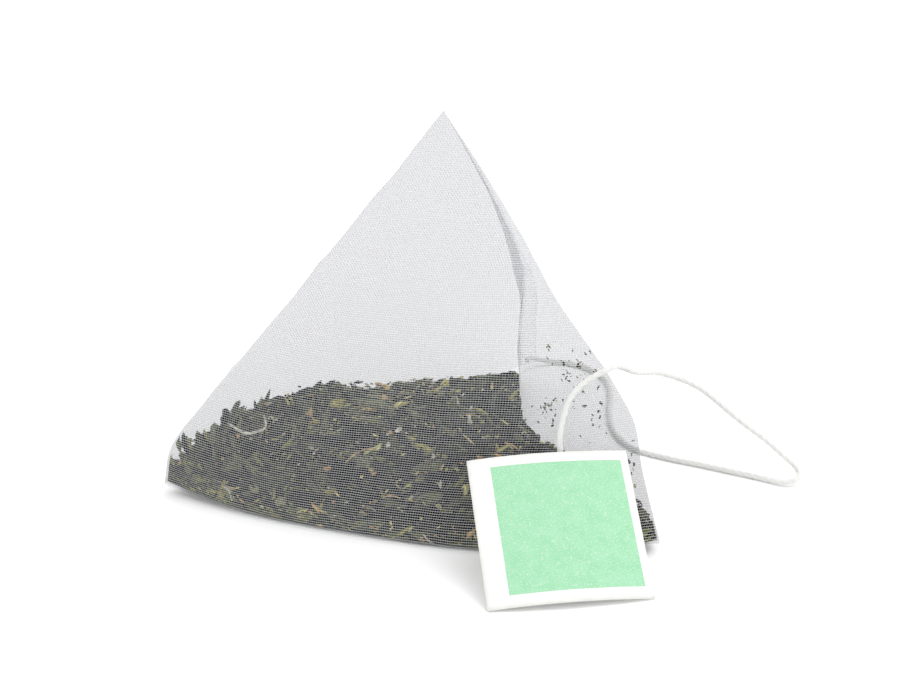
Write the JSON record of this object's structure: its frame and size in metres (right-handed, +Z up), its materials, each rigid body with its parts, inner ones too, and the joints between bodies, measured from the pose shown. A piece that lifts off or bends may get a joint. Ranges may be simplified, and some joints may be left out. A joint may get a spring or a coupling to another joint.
{
  "type": "pyramid tea bag",
  "caption": "Pyramid tea bag of woven nylon mesh with leaf tea inside, a cotton thread and a square paper tag leaning on its front.",
  "frame": {"origin": "middle of the bag's box in plan, on the surface that its base rests on, without the thread and the tag", "axes": "+Z up, +X along the front seal from the left corner to the right one, +Y from the front seal to the back corner"},
  "size_m": [0.0704, 0.0671, 0.0447],
  "materials": {
    "nylon_mesh": "satin",
    "dry_leaf": "matte",
    "pale_stalk": "matte",
    "cotton": "matte",
    "tag_paper": "matte"
  },
  "bodies": {
    "root": {"mesh_bag": "nylon_mesh", "tag": "tag_paper", "tea_heap": "dry_leaf", "tea_leaf_01": "dry_leaf", "tea_leaf_02": "dry_leaf", "tea_leaf_03": "dry_leaf", "tea_leaf_04": "dry_leaf", "tea_leaf_05": "dry_leaf", "tea_leaf_06": "dry_leaf", "tea_leaf_07": "dry_leaf", "tea_leaf_08": "dry_leaf", "tea_leaf_09": "dry_leaf", "tea_leaf_10": "dry_leaf", "tea_leaf_11": "dry_leaf", "tea_leaf_12": "dry_leaf", "tea_leaf_13": "dry_leaf", "tea_leaf_14": "dry_leaf", "tea_leaf_15": "dry_leaf", "tea_stalk_01": "pale_stalk", "tea_stalk_02": "pale_stalk", "thread": "cotton"}
  },
  "joints": []
}
